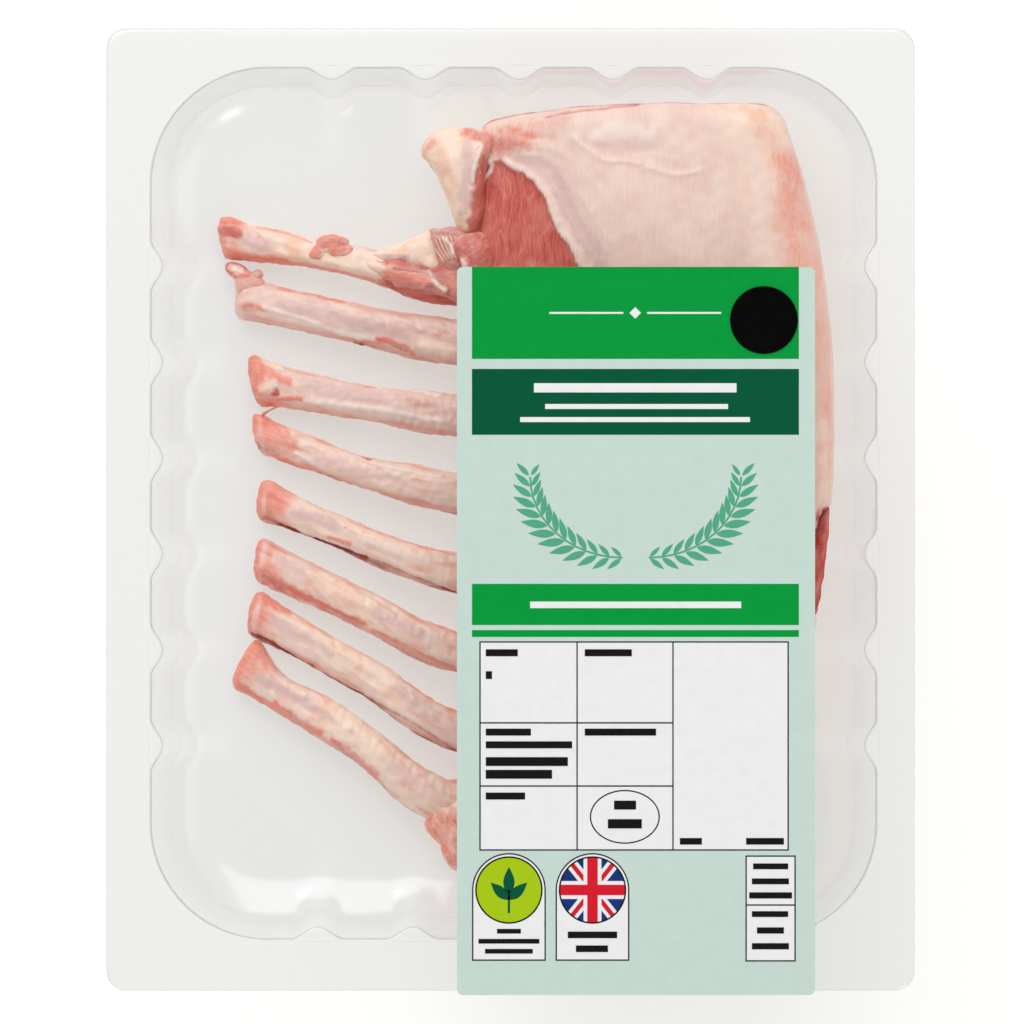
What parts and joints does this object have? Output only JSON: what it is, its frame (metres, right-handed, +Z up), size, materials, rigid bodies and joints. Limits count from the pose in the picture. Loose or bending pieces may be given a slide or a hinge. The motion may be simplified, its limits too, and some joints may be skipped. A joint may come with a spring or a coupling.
{
  "type": "packed rack of lamb",
  "caption": "French trimmed rack of lamb, loin up, sealed in a clear fluted tray under clear film with a blank printed label.",
  "frame": {"origin": "middle of the pack's footprint, on the surface that the tray stands on", "axes": "+Z up, out through the film; +Y along the pack's length, towards the end where the loin shows; +X across it, from the rib tips to the loin"},
  "size_m": [0.21, 0.2512, 0.0459],
  "materials": {
    "clear_tray": "clear thermoformed sheet, glossy",
    "clear_film": "clear lidding film, very glossy, faint creases",
    "label_paper": "smooth coated paper with printed fields of green, white and black",
    "black_paper": "smooth black paper",
    "lamb_meat": "moist pink meat under pale silverskin, darker red where it is cut",
    "lamb_fat": "smooth cream fat",
    "rib_bone": "scraped bone under a pale pink skin with red edges"
  },
  "bodies": {
    "root": {"tray": "clear_tray", "film": "clear_film", "label": "label_paper", "sticker": "black_paper", "loin": "lamb_meat", "fat_flap": "lamb_fat", "rib_1": "rib_bone", "rib_2": "rib_bone", "rib_3": "rib_bone", "rib_4": "rib_bone", "rib_5": "rib_bone", "rib_6": "rib_bone", "rib_7": "rib_bone", "rib_8": "rib_bone"}
  },
  "joints": []
}
